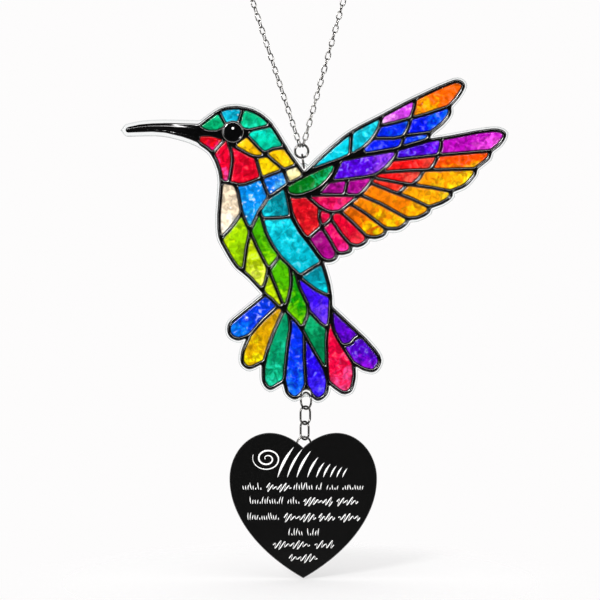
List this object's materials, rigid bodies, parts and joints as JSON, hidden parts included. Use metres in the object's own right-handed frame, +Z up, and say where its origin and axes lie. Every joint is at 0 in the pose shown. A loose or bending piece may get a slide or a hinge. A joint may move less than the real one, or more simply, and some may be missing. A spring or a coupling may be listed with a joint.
{
  "type": "acrylic memorial ornament",
  "caption": "Hanging memorial ornament: a stained-glass-look hummingbird of clear acrylic on a silver chain, with a black metal heart hung below.",
  "frame": {"origin": "top of the round knob that the chain's loop rests on, inside the loop, midway through the sheet's thickness", "axes": "+Z up, +X to the right of someone who faces the bird, front faces towards -Y"},
  "size_m": [0.155, 0.006, 0.2608],
  "materials": {
    "clear_acrylic": "clear cast acrylic, polished, with bright transparent colours printed behind the leading",
    "black_leading": "raised glossy black resin lines",
    "steel": "polished stainless wire",
    "black_coating": "satin black coated steel with light engraved strokes and a bright thin edge"
  },
  "bodies": {
    "root": {"bird_plate": "clear_acrylic", "bird_leading": "black_leading", "top_ring": "steel", "hanging_ring": "steel", "chain_left": "steel", "chain_top": "steel", "chain_right": "steel", "tail_ring": "steel", "upper_link": "steel", "lower_link": "steel", "heart_bail": "steel", "heart_plate": "black_coating"}
  },
  "joints": []
}
